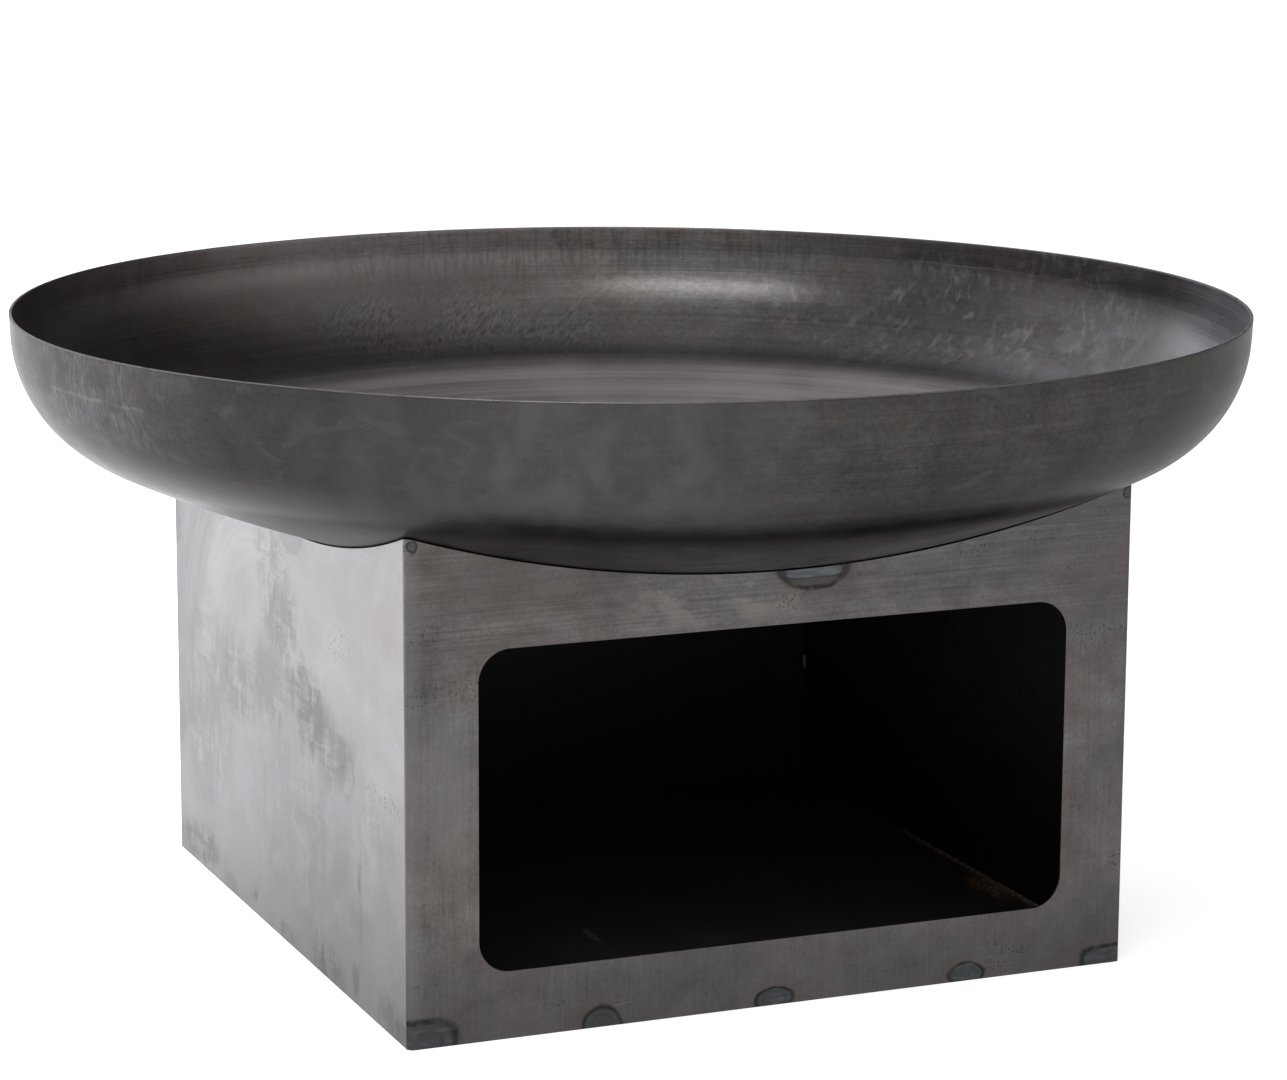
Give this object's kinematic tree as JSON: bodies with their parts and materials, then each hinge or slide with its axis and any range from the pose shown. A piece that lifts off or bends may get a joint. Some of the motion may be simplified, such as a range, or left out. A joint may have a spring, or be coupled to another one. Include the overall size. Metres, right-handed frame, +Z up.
{
  "type": "fire bowl",
  "caption": "Raw steel fire bowl, a wide dished pan that lies loose in a square sheet-steel base with arched top edges and an open log store.",
  "frame": {"origin": "on the ground, at the centre of the square base", "axes": "+Z up along the bowl's axis; -Y is the front, with the mouth of the log store; +X is to the right as seen from the front"},
  "size_m": [0.8, 0.8, 0.405],
  "materials": {
    "bowl_steel": "raw rolled and spun steel, dark, with mottling and fine scratches",
    "sheet_steel": "raw cold-rolled sheet, smoky grey, with fine grain and blue heat marks at the welds",
    "bar_steel": "raw flat bar with mill scale",
    "weld_steel": "short weld beads, left as welded"
  },
  "bodies": {
    "base": {"base_shell": "sheet_steel", "back_panel": "sheet_steel", "floor_plate": "sheet_steel", "support_tab_front": "bar_steel", "support_tab_right": "bar_steel", "support_tab_back": "bar_steel", "support_tab_left": "bar_steel", "corner_gusset_front_left": "bar_steel", "corner_gusset_front_right": "bar_steel", "corner_gusset_rear_right": "bar_steel", "corner_gusset_rear_left": "bar_steel", "floor_tack_front_1": "weld_steel", "floor_tack_front_2": "weld_steel", "floor_tack_front_3": "weld_steel", "floor_tack_front_4": "weld_steel", "floor_tack_front_5": "weld_steel", "floor_tack_right_1": "weld_steel", "floor_tack_right_2": "weld_steel", "floor_tack_right_3": "weld_steel", "floor_tack_right_4": "weld_steel", "floor_tack_right_5": "weld_steel", "floor_tack_back_1": "weld_steel", "floor_tack_back_2": "weld_steel", "floor_tack_back_3": "weld_steel", "floor_tack_back_4": "weld_steel", "floor_tack_back_5": "weld_steel", "floor_tack_left_1": "weld_steel", "floor_tack_left_2": "weld_steel", "floor_tack_left_3": "weld_steel", "floor_tack_left_4": "weld_steel", "floor_tack_left_5": "weld_steel", "tab_weld_front": "weld_steel", "tab_weld_right": "weld_steel", "tab_weld_back": "weld_steel", "tab_weld_left": "weld_steel", "gusset_spot_front_left": "weld_steel", "gusset_spot_front_right": "weld_steel", "gusset_spot_rear_right": "weld_steel", "gusset_spot_rear_left": "weld_steel", "seam_tack_left_1": "weld_steel", "seam_tack_left_2": "weld_steel", "seam_tack_right_1": "weld_steel", "seam_tack_right_2": "weld_steel"},
    "bowl": {"fire_bowl": "bowl_steel"}
  },
  "joints": [
    {"name": "bowl_lift", "type": "slide", "parent": "base", "child": "bowl", "axis": [0, 0, 1], "range_m": [0, 0.2]}
  ]
}
